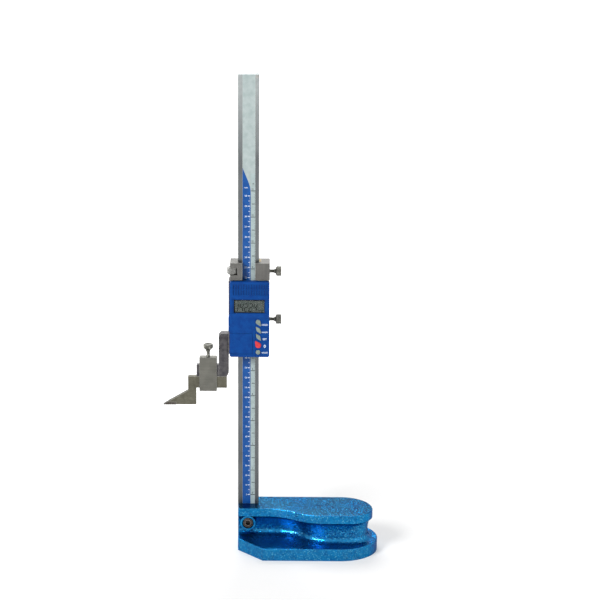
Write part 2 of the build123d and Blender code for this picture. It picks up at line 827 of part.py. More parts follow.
with BuildPart() as display_housing:
    with BuildSketch(Plane.YZ.offset(-housing_left)):
        with BuildLine():
            Polyline(
                (-frame_front, housing_foot), (-lower_front, housing_foot),
                (-lower_front, housing_foot + step_low), (-upper_front, housing_foot + step_high),
                (-upper_front, housing_top), (-frame_front, housing_top), close=True,
            )
        make_face()
    extrude(amount=housing_left + housing_right)
    fillet(display_housing.edges().filter_by(Axis.Y), radius=housing_corner)
    rim = display_housing.faces().filter_by(Axis.Y).sort_by(Axis.Y)
    front_rim = (rim[0].edges() + rim[1].edges()).filter_by(
        lambda edge: not (abs(edge.center().Z - housing_foot - step_low) < housing_edge
                          or abs(edge.center().Z - housing_foot - step_high) < housing_edge)
    )
    fillet(front_rim, radius=housing_edge)
    rest_low = housing_foot + thumb_rest_low
    rest_high = housing_foot + thumb_rest_high
    rest_side = -housing_left - thumb_rest_out
    with BuildSketch(front_plane(frame_front + thumb_rest_inset)):
        with BuildLine():
            Polyline(
                (-housing_left + housing_wall, rest_low), (-housing_left, rest_low),
                (rest_side, rest_low + thumb_rest_run), (rest_side, rest_high - thumb_rest_run),
                (-housing_left, rest_high), (-housing_left + housing_wall, rest_high), close=True,
            )
        make_face()
    extrude(amount=lower_front - frame_front - 2 * thumb_rest_inset)
    inner_left = -housing_left + housing_wall
    inner_right = housing_right - housing_wall
    box_between(
        inner_left, inner_right, upper_inside, frame_front,
        housing_foot + housing_wall, housing_top - housing_wall, mode=Mode.SUBTRACT,
    )
    box_between(
        inner_left, inner_right, lower_inside, frame_front,
        housing_foot + housing_wall, housing_foot + step_low - housing_wall,
        mode=Mode.SUBTRACT,
    )
    # shelf behind the battery cover, with the well that holds the cell
    box_between(
        -housing_left + housing_edge, cover_right + housing_wall, cover_back + cover_gap,
        shelf_back, cover_foot - housing_wall, cover_head + housing_wall,
    )
    with BuildSketch(front_plane(shelf_back)):
        with Locations((cell_x, cell_z)):
            Circle(cell_radius + cell_gap + well_wall)
    extrude(amount=-(shelf_back - board_front - cell_gap))
    for x, z in screw_spots:
        boss_end = lower_inside if z < housing_foot + step_low else upper_inside
        with BuildSketch(front_plane(frame_front, x=x, z=z)):
            Circle(boss_outer)
        extrude(amount=boss_end - frame_front)
    # recess, undercuts and opening for the sliding cover
    box_between(
        -housing_left - housing_edge, cover_right + cover_gap, lower_front,
        cover_back - cover_gap, cover_foot - cover_gap, cover_head + cover_gap,
        mode=Mode.SUBTRACT,
    )
    box_between(
        -housing_left - housing_edge, cover_right + cover_gap,
        cover_back + cover_lip_thickness + cover_gap, cover_back - cover_gap,
        cover_foot - cover_lip - cover_gap, cover_head + cover_lip + cover_gap,
        mode=Mode.SUBTRACT,
    )
    with BuildSketch(front_plane(lower_front)):
        with Locations((cell_x, cell_z)):
            Circle(cell_radius + cell_gap)
    extrude(amount=-(lower_front - board_front), mode=Mode.SUBTRACT)
    box_between(
        cell_x + cell_radius / 2, cell_x + cell_radius + cell_gap + 2 * well_wall,
        shelf_back, board_front, cell_z - contact_width / 2 - cell_gap,
        cell_z + contact_width / 2 + cell_gap, mode=Mode.SUBTRACT,
    )
    # display window, its bezel and the rebate of the lens
    box_between(
        -window_left - bezel_side, window_right + bezel_side, upper_front,
        upper_front - bezel_depth, window_foot - bezel_end,
        window_head + bezel_end, mode=Mode.SUBTRACT,
    )
    box_between(
        -window_left, window_right, upper_front, upper_inside, window_foot, window_head,
        mode=Mode.SUBTRACT,
    )
    box_between(
        -window_left - lens_margin - seat_gap, window_right + lens_margin + seat_gap,
        lens_front, upper_inside, window_foot - lens_margin - seat_gap,
        window_head + lens_margin + seat_gap, mode=Mode.SUBTRACT,
    )
    # key panel and key holes
    box_between(
        panel_left, housing_right, lower_front, panel_front,
        housing_foot, housing_foot + panel_top, mode=Mode.SUBTRACT,
    )
    for key in keys.values():
        with BuildSketch(front_plane(lower_front)):
            key_outline(key, spread=key_gap)
        extrude(amount=-housing_wall, mode=Mode.SUBTRACT)
    # grip ribs above the window
    for drop in rib_drops:
        with Locations((rib_x, -upper_front, housing_top - drop)):
            with GridLocations(rib_pitch, 1, rib_count, 1):
                Box(rib_groove, 2 * rib_depth, rib_length, mode=Mode.SUBTRACT)
    for x, z in screw_spots:
        with Locations(Plane(origin=(x, -frame_front, z), z_dir=(0, 1, 0))):
            Hole(radius=body_screw_radius + thread_gap, depth=body_screw_bite + slide_gap)
finish(display_housing, "display_housing")

with BuildPart() as display_lens:
    box_between(
        -window_left - lens_margin, window_right + lens_margin, lens_front, lens_back,
        window_foot - lens_margin, window_head + lens_margin,
    )
finish(display_lens, "display_lens")

with BuildPart() as lcd_module:
    box_between(
        -window_left - lcd_margin, window_right + lcd_margin, lcd_front, lcd_back,
        window_foot - lens_margin - lcd_margin, window_head + lens_margin + lcd_margin,
    )
finish(lcd_module, "lcd_module")

with BuildPart() as contact_strips:
    for low in (window_foot - zebra_inset, window_head + zebra_inset - zebra_width):
        box_between(
            -window_left, window_right, lcd_back, board_front, low, low + zebra_width,
        )
finish(contact_strips, "contact_strips")

with BuildPart() as circuit_board:
    box_between(
        -board_left, board_right, board_front, frame_front,
        housing_foot + board_margin, housing_top - board_margin,
    )
    for x, z in screw_spots:
        with Locations(front_plane(board_front, x=x, z=z)):
            Hole(radius=boss_outer + board_notch, depth=board_thickness)
finish(circuit_board, "circuit_board")

with BuildPart() as reading_head:
    box_between(
        -strip_window_left + head_side, strip_window_right - head_side,
        frame_front, frame_front - head_thickness,
        frame_foot + window_margin + head_end, frame_top - window_margin - head_end,
    )
finish(reading_head, "reading_head")

with BuildPart() as control_chip:
    box_between(
        chip_x - chip_size / 2, chip_x + chip_size / 2, board_front + chip_height, board_front,
        housing_foot + chip_rise - chip_size / 2, housing_foot + chip_rise + chip_size / 2,
    )
finish(control_chip, "control_chip")

# ================= battery =================

cell_back = board_front + contact_thickness

with BuildPart() as battery:
    with BuildSketch(front_plane(cell_back, x=cell_x, z=cell_z)):
        Circle(cell_radius)
    extrude(amount=cell_height)
    chamfer(battery.edges().filter_by(GeomType.CIRCLE), length=cell_gap)
finish(battery, "battery")

with BuildPart() as battery_contact_minus:
    with BuildSketch(front_plane(board_front, x=cell_x, z=cell_z)):
        SlotOverall(2 * cell_radius - 2 * cell_gap, contact_width)
    extrude(amount=contact_thickness)
finish(battery_contact_minus, "battery_contact_minus")

with BuildPart() as battery_contact_plus:
    blade_x = cell_x + cell_radius + seat_gap
    box_between(
        blade_x, blade_x + contact_thickness, cell_back + cell_height / 2, board_front,
        cell_z - contact_width / 2, cell_z + contact_width / 2,
    )
    box_between(
        blade_x, blade_x + contact_width, board_front + contact_thickness, board_front,
        cell_z - contact_width / 2, cell_z + contact_width / 2,
    )
finish(battery_contact_plus, "battery_contact_plus")

with BuildPart() as battery_cover:
    box_between(
        -housing_left, cover_right, lower_front, cover_back, cover_foot, cover_head,
    )
    box_between(
        -housing_left, cover_right, cover_back + cover_lip_thickness, cover_back,
        cover_foot - cover_lip, cover_head + cover_lip,
    )
    fillet(battery_cover.faces().sort_by(Axis.Y)[0].edges(), radius=cover_gap)
finish(battery_cover, "battery_cover")

# ================= keys =================

key_front = panel_front + key_proud
flange_front = lower_inside - slide_gap
flange_back = flange_front - key_flange_thickness
mat_front = board_front + mat_thickness
stem_back = mat_front + key_travel + key_play

for key_name, key in keys.items():
    stem_x, stem_rise = key[:2]
    with BuildPart() as key_piece:
        with BuildSketch(front_plane(flange_back)):
            key_outline(key)
        extrude(amount=key_front - flange_back)
        fillet(key_piece.faces().sort_by(Axis.Y)[0].edges(), radius=key_gap)
        with BuildSketch(front_plane(flange_back)):
            key_outline(key, spread=key_flange)
        extrude(amount=key_flange_thickness)
        with BuildSketch(front_plane(stem_back)):
            with Locations((stem_x, housing_foot + stem_rise)):
                Circle(key_stem)
        extrude(amount=flange_back - stem_back)
    finish(key_piece, key_name)

with BuildPart() as key_mat:
    box_between(
        mat_left, mat_right, mat_front, board_front,
        housing_foot + mat_low, housing_foot + mat_high,
    )
finish(key_mat, "key_mat")
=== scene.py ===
import math
import bmesh
import bpy
import numpy as np
from mathutils import Matrix, Vector


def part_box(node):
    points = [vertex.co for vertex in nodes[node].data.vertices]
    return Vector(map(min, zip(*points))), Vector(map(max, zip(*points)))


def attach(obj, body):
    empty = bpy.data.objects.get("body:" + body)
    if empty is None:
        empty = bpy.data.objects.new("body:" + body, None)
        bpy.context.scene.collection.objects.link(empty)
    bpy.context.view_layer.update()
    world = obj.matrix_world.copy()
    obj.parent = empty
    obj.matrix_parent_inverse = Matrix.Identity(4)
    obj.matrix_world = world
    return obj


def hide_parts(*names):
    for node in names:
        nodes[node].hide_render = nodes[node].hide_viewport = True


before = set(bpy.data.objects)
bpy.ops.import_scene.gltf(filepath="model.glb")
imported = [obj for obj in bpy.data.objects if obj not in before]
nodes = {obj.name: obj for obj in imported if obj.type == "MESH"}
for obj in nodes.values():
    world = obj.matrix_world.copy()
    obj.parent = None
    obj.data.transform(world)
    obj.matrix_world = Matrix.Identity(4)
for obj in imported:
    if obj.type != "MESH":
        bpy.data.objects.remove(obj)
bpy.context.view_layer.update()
scene = bpy.context.scene
scene.view_settings.view_transform = "Standard"
mm = 0.001
print("frame loaded:", len(nodes), "nodes")


# camera
cameraView = {
    "place": (0.04925, -2.2116, 0.8841),
    "pitchDown": 16.066,       # degrees below level
    "roll": 0.391,
    "lens": 144.35,
    "sensor": 36.0,
    "near": 0.05, "far": 60.0,
}


def addCamera(view):
    data = bpy.data.cameras.new("camera")
    data.sensor_width, data.lens = view["sensor"], view["lens"]
    data.clip_start, data.clip_end = view["near"], view["far"]
    camera = bpy.data.objects.new("camera", data)
    scene.collection.objects.link(camera)
    tilt = Matrix.Rotation(math.radians(90.0 - view["pitchDown"]), 4, "X")
    spin = Matrix.Rotation(math.radians(view["roll"]), 4, "Z")
    camera.matrix_world = Matrix.Translation(view["place"]) @ tilt @ spin
    scene.camera = camera


addCamera(cameraView)


# node tree helpers
def srgb(red, green, blue):
    # screen values 0..255 to the linear colour a shader takes
    parts = [v / 255.0 for v in (red, green, blue)]
    return [v / 12.92 if v <= 0.04045 else ((v + 0.055) / 1.055) ** 2.4 for v in parts] + [1.0]


def wire(tree, kind, settings=None, **inputs):
    # adds a node; a, b, c and d stand for its first inputs, other names are the sockets' own
    node = tree.nodes.new("ShaderNode" + kind)
    for name, value in (settings or {}).items():
        setattr(node, name, value)
    for name, value in inputs.items():
        key = "abcd".index(name) if name in "abcd" else name.replace("_", " ")
        socket = node.inputs[key]
        if isinstance(value, bpy.types.NodeSocket):
            tree.links.new(value, socket)
        else:
            socket.default_value = value
    return node


def calc(tree, operation, a, b=0.0):
    return wire(tree, "Math", {"operation": operation}, a=a, b=b).outputs[0]


def times(tree, a, b):
    return calc(tree, "MULTIPLY", a, b)


def vectorCalc(tree, operation, **inputs):
    return wire(tree, "VectorMath", {"operation": operation}, **inputs).outputs


def noise(tree, spot, scale, detail, roughness):
    grain = wire(tree, "TexNoise", Vector=spot, Scale=scale, Detail=detail, Roughness=roughness)
    return grain.outputs[0]


def heightOf(tree, vector):
    # the z part
    return wire(tree, "SeparateXYZ", a=vector).outputs[2]


def mixColour(tree, factor, first, second):
    # the mix node's colour sockets are its inputs 6 and 7 and its output 2
    node = tree.nodes.new("ShaderNodeMix")
    node.data_type = "RGBA"
    for index, value in ((0, factor), (6, first), (7, second)):
        if isinstance(value, bpy.types.NodeSocket):
            tree.links.new(value, node.inputs[index])
        else:
            node.inputs[index].default_value = value
    return node.outputs[2]


def spread(tree, value, fromLow, fromHigh, low, high):
    # a value between fromLow and fromHigh becomes one between low and high, and stays inside
    node = wire(tree, "MapRange", {"clamp": True}, Value=value)
    limits = {"From Min": fromLow, "From Max": fromHigh, "To Min": low, "To Max": high}
    for name, number in limits.items():
        node.inputs[name].default_value = number
    return node.outputs[0]


def mask(tree, value, none, full, share=1.0):
    # 0 where the value is at none, the share where it is at full
    return spread(tree, value, none, full, 0.0, share)


def between(tree, share, low, high):
    return spread(tree, share, 0.0, 1.0, low, high)


def newGroup(name, inputs, outputs):
    group = bpy.data.node_groups.new(name, "ShaderNodeTree")
    for label, kind, value in inputs:
        socket = group.interface.new_socket(
            name=label, in_out="INPUT", socket_type="NodeSocket" + kind)
        if value is not None:
            socket.default_value = value
    for label, kind in outputs:
        group.interface.new_socket(
            name=label, in_out="OUTPUT", socket_type="NodeSocket" + kind)
    given = group.nodes.new("NodeGroupInput").outputs
    out = group.nodes.new("NodeGroupOutput").inputs
    return group, given, out


def place(tree, group, **inputs):
    node = tree.nodes.new("ShaderNodeGroup")
    node.node_tree = group
    for name, value in inputs.items():
        if isinstance(value, bpy.types.NodeSocket):
            tree.links.new(value, node.inputs[name])
        else:
            node.inputs[name].default_value = value
    return node.outputs


# shared effects
def buildGrindGroup():
    # fine lines drawn out along the grinding direction, and the cloudy patches under them
    group, given, out = newGroup(
        "grindMarks",
        [("Place", "Vector", None), ("Stretch", "Vector", (3000.0, 3000.0, 60.0)),
         ("Patch", "Float", 90.0)],
        [("Lines", "Float"), ("Patches", "Float")],
    )
    drawn = vectorCalc(group, "MULTIPLY", a=given["Place"], b=given["Stretch"])[0]
    lines = noise(group, drawn, 1.0, detail=5.0, roughness=0.66)
    patches = noise(group, given["Place"], given["Patch"], detail=4.0, roughness=0.55)
    group.links.new(mask(group, lines, none=0.28, full=0.72), out["Lines"])
    group.links.new(mask(group, patches, none=0.3, full=0.7), out["Patches"])
    return group


def buildEdgeGroup():
    # how far the rounded normal turns away from the true one: high on edges only, where wear and
    # painted edge light go
    group, given, out = newGroup("edgeWear", [("Width", "Float", 0.0004)], [("Edge", "Float")])
    soft = wire(group, "Bevel", {"samples": 6}, Radius=given["Width"])
    true = wire(group, "NewGeometry").outputs["Normal"]
    agree = vectorCalc(group, "DOT_PRODUCT", a=soft.outputs[0], b=true)["Value"]
    group.links.new(mask(group, agree, none=0.995, full=0.8), out["Edge"])
    return group


def buildCreviceGroup():
    # how closed in a spot is by its own piece: painted shade darkens it there
    group, given, out = newGroup("creviceDirt", [("Reach", "Float", 0.004)], [("Dirt", "Float")])
    settings = {"samples": 8, "only_local": True}
    openness = wire(group, "AmbientOcclusion", settings, Distance=given["Reach"]).outputs["AO"]
    group.links.new(mask(group, openness, none=0.85, full=0.3), out["Dirt"])
    return group


def buildSpeckGroup():
    # two sizes of noise crossed: a mottled mask and a height from the finer one
    group, given, out = newGroup(
        "mottle",
        [("Place", "Vector", None), ("Fine", "Float", 2600.0), ("Broad", "Float", 320.0)],
        [("Mask", "Float"), ("Height", "Float")],
    )
    fine = noise(group, given["Place"], given["Fine"], detail=3.0, roughness=0.6)
    broad = noise(group, given["Place"], given["Broad"], detail=3.0, roughness=0.5)
    group.links.new(mask(group, times(group, fine, broad), none=0.16, full=0.34), out["Mask"])
    group.links.new(fine, out["Height"])
    return group


def buildFlakeGroup():
    # each small cell of the paint holds one flake that leans its own way
    group, given, out = newGroup(
        "paintFlakes",
        [("Place", "Vector", None), ("Size", "Float", 1500.0), ("Lean", "Float", 0.35)],
        [("Normal", "Vector"), ("Spark", "Float")],
    )
    cells = wire(group, "TexVoronoi", {"feature": "F1"}, Vector=given["Place"], Scale=given["Size"])
    chance = cells.outputs["Color"]
    centred = vectorCalc(group, "SUBTRACT", a=chance, b=(0.5, 0.5, 0.5))[0]
    leaned = vectorCalc(group, "SCALE", a=centred, Scale=given["Lean"])[0]
    face = wire(group, "NewGeometry").outputs["Normal"]
    total = vectorCalc(group, "ADD", a=face, b=leaned)[0]
    group.links.new(vectorCalc(group, "NORMALIZE", a=total)[0], out["Normal"])
    red = wire(group, "SeparateColor", a=chance).outputs[0]
    group.links.new(mask(group, red, none=0.86, full=0.97), out["Spark"])
    return group


grindMarks = buildGrindGroup()
edgeWear = buildEdgeGroup()
creviceDirt = buildCreviceGroup()
mottle = buildSpeckGroup()
paintFlakes = buildFlakeGroup()
print("shared node groups built")


# materials
def newMaterial(name, **sockets):
    material = bpy.data.materials.new(name)
    material.use_nodes = True
    tree = material.node_tree
    shader = tree.nodes["Principled BSDF"]
    for label, value in sockets.items():
        shader.inputs[label.replace("_", " ")].default_value = value
    spot = wire(tree, "TexCoord").outputs["Object"]
    return material, tree, shader, spot


def feed(tree, shader, **links):
    for label, socket in links.items():
        tree.links.new(socket, shader.inputs[label.replace("_", " ")])


def groundMetal(name, look):
    # machined steel: dark and light lines, cloudy tone, bright worn edges
    material, tree, shader, spot = newMaterial(name, Metallic=1.0)
    marks = place(tree, grindMarks, Place=spot, Stretch=look["stretch"], Patch=look["patch"])
    specks = place(tree, mottle, Place=spot, Fine=look["fine"], Broad=look["broad"])
    worn = place(tree, edgeWear, Width=look["wearWidth"])["Edge"]
    dirt = place(tree, creviceDirt, Reach=look["dirtReach"])["Dirt"]
    lines, patches = marks["Lines"], marks["Patches"]
    tone = calc(tree, "ADD", times(tree, lines, look["lineShare"]),
                times(tree, patches, 1.0 - look["lineShare"]))
    colour = mixColour(tree, tone, look["dark"], look["light"])
    # the steel is painted paler from one height to the other
    unhandled = mask(tree, heightOf(tree, spot), *look["cleanHeight"], look["cleanShare"])
    colour = mixColour(tree, unhandled, colour, look["clean"])
    colour = mixColour(tree, times(tree, specks["Mask"], look["blotch"]), colour, look["spot"])
    colour = mixColour(tree, times(tree, worn, look["wear"]), colour, look["edge"])
    # painted shade: the piece's hollows are darkened towards the shade tone
    colour = mixColour(tree, times(tree, dirt, look["dirt"]), colour, look["dirtTone"])
    rough = between(tree, lines, *look["rough"])
    height = calc(tree, "ADD", lines, times(tree, specks["Height"], look["grit"]))
    bump = wire(tree, "Bump", Strength=look["bump"], Distance=look["relief"], Height=height)
    feed(tree, shader, Base_Color=colour, Roughness=rough, Normal=bump.outputs[0])
    return material


def steelLook(**changes):
    look = {
        "dark": srgb(118, 120, 118), "light": srgb(176, 178, 174), "spot": srgb(96, 96, 92),
        "edge": srgb(225, 226, 222), "stretch": (900.0, 900.0, 36.0), "patch": 70.0,
        "lineShare": 0.45,         # of the tone; the rest comes from the patches
        "fine": 2400.0, "broad": 260.0, "blotch": 0.35, "grit": 0.5,
        "wearWidth": 0.0004, "wear": 0.6, "rough": (0.28, 0.46),
        "bump": 0.35, "relief": 0.00004,
        # painted shade in the piece's hollows: share, reach and tone
        "dirt": 0.85, "dirtReach": 0.004, "dirtTone": srgb(26, 25, 24),
        # from one height to the other the steel gets paler
        "cleanHeight": (9.0, 9.1), "cleanShare": 0.0, "clean": srgb(176, 178, 174),
    }
    look.update(changes)
    return look


def buildPaint(look):
    # hammered enamel: flakes under a clear coat, bare ground metal on the underside
    material, tree, shader, spot = newMaterial(
        "basePaint", Coat_Weight=look["coat"], Coat_Roughness=look["coatRough"],
        Specular_Tint=look["glance"])
    specks = place(tree, mottle, Place=spot, Fine=look["fine"], Broad=look["broad"])
    flakes = place(tree, paintFlakes, Place=spot, Size=look["flakeSize"], Lean=look["flakeLean"])
    worn = place(tree, edgeWear, Width=look["wearWidth"])["Edge"]
    dirt = place(tree, creviceDirt, Reach=look["dirtReach"])["Dirt"]
    cells = wire(tree, "TexVoronoi", {"feature": "SMOOTH_F1"},
                 Vector=spot, Scale=look["cells"], Smoothness=look["cellSoft"])
    clouds = noise(tree, spot, look["clouds"], detail=4.0, roughness=0.6)
    facing = heightOf(tree, wire(tree, "NewGeometry").outputs["Normal"])
    level = heightOf(tree, spot)

    hammer = mask(tree, cells.outputs["Distance"], none=0.1, full=0.75)
    colour = mixColour(tree, hammer, look["deep"], look["mid"])
    colour = mixColour(tree, times(tree, specks["Mask"], look["speck"]), colour, look["light"])
    hazy = mask(tree, clouds, none=0.42, full=0.7, share=look["hazeShare"])
    colour = mixColour(tree, hazy, colour, look["haze"])
    colour = mixColour(tree, times(tree, flakes["Spark"], look["spark"]), colour, look["flake"])
    # painted highlight: the grip's edges are painted paler
    colour = mixColour(tree, times(tree, worn, look["wear"]), colour, look["light"])
    # a painted milky reflection lies on the up-facing top of the grip, in clouds
    film = times(tree, mask(tree, facing, none=0.8, full=0.98),
                 mask(tree, level, *look["dustHeight"]))
    film = times(tree, film, spread(tree, clouds, *look["cloudRange"], *look["dust"]))
    colour = mixColour(tree, film, colour, look["dustTone"])
    # painted shade: the grip's hollows are darkened towards the shade colour
    colour = mixColour(tree, times(tree, dirt, look["dirt"]), colour, look["shade"])
    # the sole's face on the table looks down and is ground bare
    bare = times(tree, calc(tree, "LESS_THAN", facing, -0.9),
                 calc(tree, "LESS_THAN", level, look["groundHeight"]))
    marks = place(tree, grindMarks, Place=spot, Stretch=look["groundStretch"],
                  Patch=look["groundPatch"])
    iron = mixColour(tree, marks["Lines"], look["ironDark"], look["ironLight"])
    colour = mixColour(tree, bare, colour, iron)

    metallic = between(tree, bare, look["metallic"], 1.0)
    rough = spread(tree, clouds, *look["cloudRange"], *look["rough"])
    bump = wire(tree, "Bump", Strength=look["bump"], Distance=look["relief"],
                Height=hammer, Normal=flakes["Normal"])
    feed(tree, shader, Base_Color=colour, Metallic=metallic, Roughness=rough,
         Normal=bump.outputs[0])
    return material


def moulded(name, look):
    # moulded or printed surface: slight tone change, fine pebble grain, and edges in the edge
    # colour, a pale painted highlight, and on the keys a dark painted shadow
    material, tree, shader, spot = newMaterial(
        name, Metallic=look["metallic"], Coat_Weight=look["coat"],
        Coat_Roughness=look["coatRough"], Specular_IOR_Level=look["specular"])
    specks = place(tree, mottle, Place=spot, Fine=look["fine"], Broad=look["broad"])
    worn = place(tree, edgeWear, Width=look["wearWidth"])["Edge"]
    dirt = place(tree, creviceDirt, Reach=look["dirtReach"])["Dirt"]
    colour = mixColour(tree, specks["Mask"], look["dark"], look["light"])
    # edges take the edge colour: a pale painted highlight, and on the keys a dark painted shadow
    colour = mixColour(tree, times(tree, worn, look["wear"]), colour, look["edge"])
    # painted shade: the piece's hollows are darkened towards the shade tone
    colour = mixColour(tree, times(tree, dirt, look["dirt"]), colour, look["dirtTone"])
    rough = between(tree, specks["Mask"], *look["rough"])
    bump = wire(tree, "Bump", Strength=look["bump"], Distance=look["relief"],
                Height=specks["Height"])
    feed(tree, shader, Base_Color=colour, Roughness=rough, Normal=bump.outputs[0])
    return material


def mouldLook(dark, light, **changes):
    look = {
        "dark": dark, "light": light, "edge": light, "fine": 3200.0, "broad": 200.0,
        # width and share of the edge colour, which is a painted highlight
        "wearWidth": 0.0003, "wear": 0.4, "rough": (0.42, 0.6),
        "bump": 0.3, "relief": 0.00005,
        "metallic": 0.0, "coat": 0.0, "coatRough": 0.25, "specular": 0.5,
        # painted shade in the piece's hollows: share, reach and tone
        "dirt": 0.7, "dirtReach": 0.0015, "dirtTone": srgb(20, 22, 26),
    }
    look.update(changes)
    return look


def buildLens(look):
    # clear window with a faint haze of fine scratches in its roughness
    material, tree, shader, spot = newMaterial(
        "lensClear", Base_Color=look["tint"], IOR=look["ior"], Transmission_Weight=1.0,
        Alpha=look["film"])
    specks = place(tree, mottle, Place=spot, Fine=look["fine"], Broad=look["broad"])
    feed(tree, shader, Roughness=between(tree, specks["Mask"], *look["rough"]))
    return material


lensLook = {
    "tint": srgb(232, 238, 234), "ior": 1.2, "film": 0.2,
    "fine": 3000.0, "broad": 120.0, "rough": (0.0, 0.012),
}
paintLook = {
    "deep": srgb(0, 78, 132), "mid": srgb(2, 108, 170), "light": srgb(12, 134, 192),
    "fine": 1500.0, "broad": 150.0, "speck": 0.55, "cells": 420.0, "cellSoft": 0.6,
    "flake": srgb(108, 198, 224), "flakeSize": 1500.0, "flakeLean": 0.32, "spark": 0.55,
    "haze": srgb(44, 122, 168), "hazeShare": 0.36, "clouds": 26.0, "cloudRange": (0.35, 0.65),
    # the painted reflection on the grip's top: its tone, cloud range and height band
    "dustTone": srgb(66, 96, 108), "dust": (0.42, 0.72), "dustHeight": (0.03, 0.036),
    # shade colour, share and reach of the painted shade in the grip's hollows
    "shade": srgb(0, 48, 100), "dirt": 0.35, "dirtReach": 0.008,
    # width and share of the painted highlight on the grip's edges
    "wearWidth": 0.0005, "wear": 0.25,
    "ironDark": srgb(112, 112, 110), "ironLight": srgb(166, 166, 162),
    "groundHeight": 0.0004, "groundStretch": (30.0, 900.0, 900.0), "groundPatch": 60.0,
    "metallic": 0.94, "rough": (0.15, 0.28), "bump": 0.35, "relief": 0.0002,
    "coat": 0.15, "coatRough": 0.08, "glance": (0.06, 0.26, 0.4, 1.0),
}
materials = {
    "basePaint": buildPaint(paintLook),
    "columnSteel": groundMetal("columnSteel", steelLook(
        dark=srgb(70, 74, 78), light=srgb(116, 120, 121), rough=(0.3, 0.48), patch=30.0,
        blotch=0.2, cleanHeight=(0.385, 0.455), cleanShare=0.75, clean=srgb(172, 178, 178))),
    "sliderSteel": groundMetal("sliderSteel", steelLook(
        dark=srgb(74, 73, 72), light=srgb(114, 113, 110), rough=(0.34, 0.5))),
    "clampSteel": groundMetal("clampSteel", steelLook(
        dark=srgb(78, 78, 73), light=srgb(118, 117, 110), stretch=(30.0, 900.0, 900.0),
        rough=(0.34, 0.5))),
    "scriberSteel": groundMetal("scriberSteel", steelLook(
        dark=srgb(78, 76, 66), light=srgb(114, 112, 99), stretch=(240.0, 900.0, 900.0),
        spot=srgb(70, 68, 59), blotch=0.5, rough=(0.36, 0.52))),
    "jawSteel": groundMetal("jawSteel", steelLook(
        dark=srgb(42, 42, 46), light=srgb(84, 82, 86), stretch=(500.0, 500.0, 240.0),
        patch=160.0, spot=srgb(118, 115, 114), blotch=0.35, rough=(0.38, 0.56))),
    "nutSteel": groundMetal("nutSteel", steelLook(
        dark=srgb(104, 104, 102), light=srgb(156, 156, 153), rough=(0.26, 0.4))),
    "brightSteel": groundMetal("brightSteel", steelLook(
        dark=srgb(150, 150, 148), light=srgb(196, 196, 192), rough=(0.22, 0.36))),
    "knurlSteel": groundMetal("knurlSteel", steelLook(
        dark=srgb(76, 76, 71), light=srgb(128, 128, 120), edge=srgb(186, 185, 176),
        stretch=(900.0, 900.0, 900.0), wearWidth=0.0002, wear=0.8)),
    "blackSteel": groundMetal("blackSteel", steelLook(
        dark=srgb(36, 33, 36), light=srgb(84, 78, 78), edge=srgb(196, 186, 178),
        spot=srgb(20, 18, 20), wearWidth=0.0008, wear=0.85, rough=(0.2, 0.34))),
    "carbide": groundMetal("carbide", steelLook(
        dark=srgb(58, 54, 50), light=srgb(92, 86, 80), edge=srgb(150, 146, 140))),
    "brass": groundMetal("brass", steelLook(
        dark=srgb(112, 96, 60), light=srgb(150, 132, 90), edge=srgb(190, 172, 128),
        spot=srgb(86, 74, 48))),
    "cellSteel": groundMetal("cellSteel", steelLook(
        dark=srgb(176, 176, 172), light=srgb(214, 214, 210), rough=(0.14, 0.24))),
    "contactMetal": groundMetal("contactMetal", steelLook(
        dark=srgb(186, 160, 96), light=srgb(222, 198, 132), rough=(0.2, 0.32))),
    # the housing's paler edge colour is a painted highlight, and its shade tone the painted shade
    # in its hollows
    "housingBlue": moulded("housingBlue", mouldLook(
        srgb(4, 62, 138), srgb(10, 76, 156), edge=srgb(30, 112, 200),
        specular=0.15, dirtTone=srgb(4, 26, 66))),
    "labelPale": moulded("labelPale", mouldLook(
        srgb(164, 179, 178), srgb(184, 196, 195), metallic=0.25, rough=(0.3, 0.4), bump=0.05)),
    "printBlue": moulded("printBlue", mouldLook(
        srgb(10, 74, 148), srgb(24, 92, 170), rough=(0.34, 0.46), bump=0.05, specular=0.3)),
    "printPale": moulded("printPale", mouldLook(
        srgb(164, 182, 182), srgb(184, 200, 200), rough=(0.34, 0.46), bump=0.05)),
    "printWhite": moulded("printWhite", mouldLook(
        srgb(214, 232, 250), srgb(238, 246, 255), rough=(0.35, 0.45), bump=0.05)),
    "printBlack": moulded("printBlack", mouldLook(
        srgb(14, 24, 24), srgb(30, 40, 40), rough=(0.35, 0.45), bump=0.05)),
    # the keys' dark edge colours are a painted shadow round each key
    "keyPale": moulded("keyPale", mouldLook(
        srgb(128, 143, 136), srgb(158, 170, 162), edge=srgb(56, 80, 88),
        wear=0.7, rough=(0.5, 0.62))),
    "keyRed": moulded("keyRed", mouldLook(
        srgb(206, 38, 48), srgb(236, 66, 74), edge=srgb(120, 30, 60),
        wear=0.6, rough=(0.45, 0.58))),
    "lcdGrey": moulded("lcdGrey", mouldLook(
        srgb(73, 81, 79), srgb(87, 93, 89), rough=(0.25, 0.35), bump=0.03, specular=0.2)),
    "lcdDark": moulded("lcdDark", mouldLook(
        srgb(4, 12, 12), srgb(10, 20, 20), rough=(0.3, 0.4), bump=0.02, specular=0.1)),
    # black for the painted shadow on the display
    "maskBlack": moulded("maskBlack", mouldLook(
        srgb(2, 6, 14), srgb(8, 12, 22), rough=(0.3, 0.4), bump=0.02, specular=0.1)),
    "rubberDark": moulded("rubberDark", mouldLook(
        srgb(34, 36, 38), srgb(52, 54, 56), rough=(0.6, 0.75), bump=0.5)),
    "boardGreen": moulded("boardGreen", mouldLook(
        srgb(16, 84, 46), srgb(28, 108, 62), rough=(0.3, 0.42), bump=0.15, coat=0.3)),
    "chipBlack": moulded("chipBlack", mouldLook(
        srgb(26, 26, 28), srgb(40, 40, 42), rough=(0.5, 0.65), bump=0.4)),
    "lensClear": buildLens(lensLook),
}
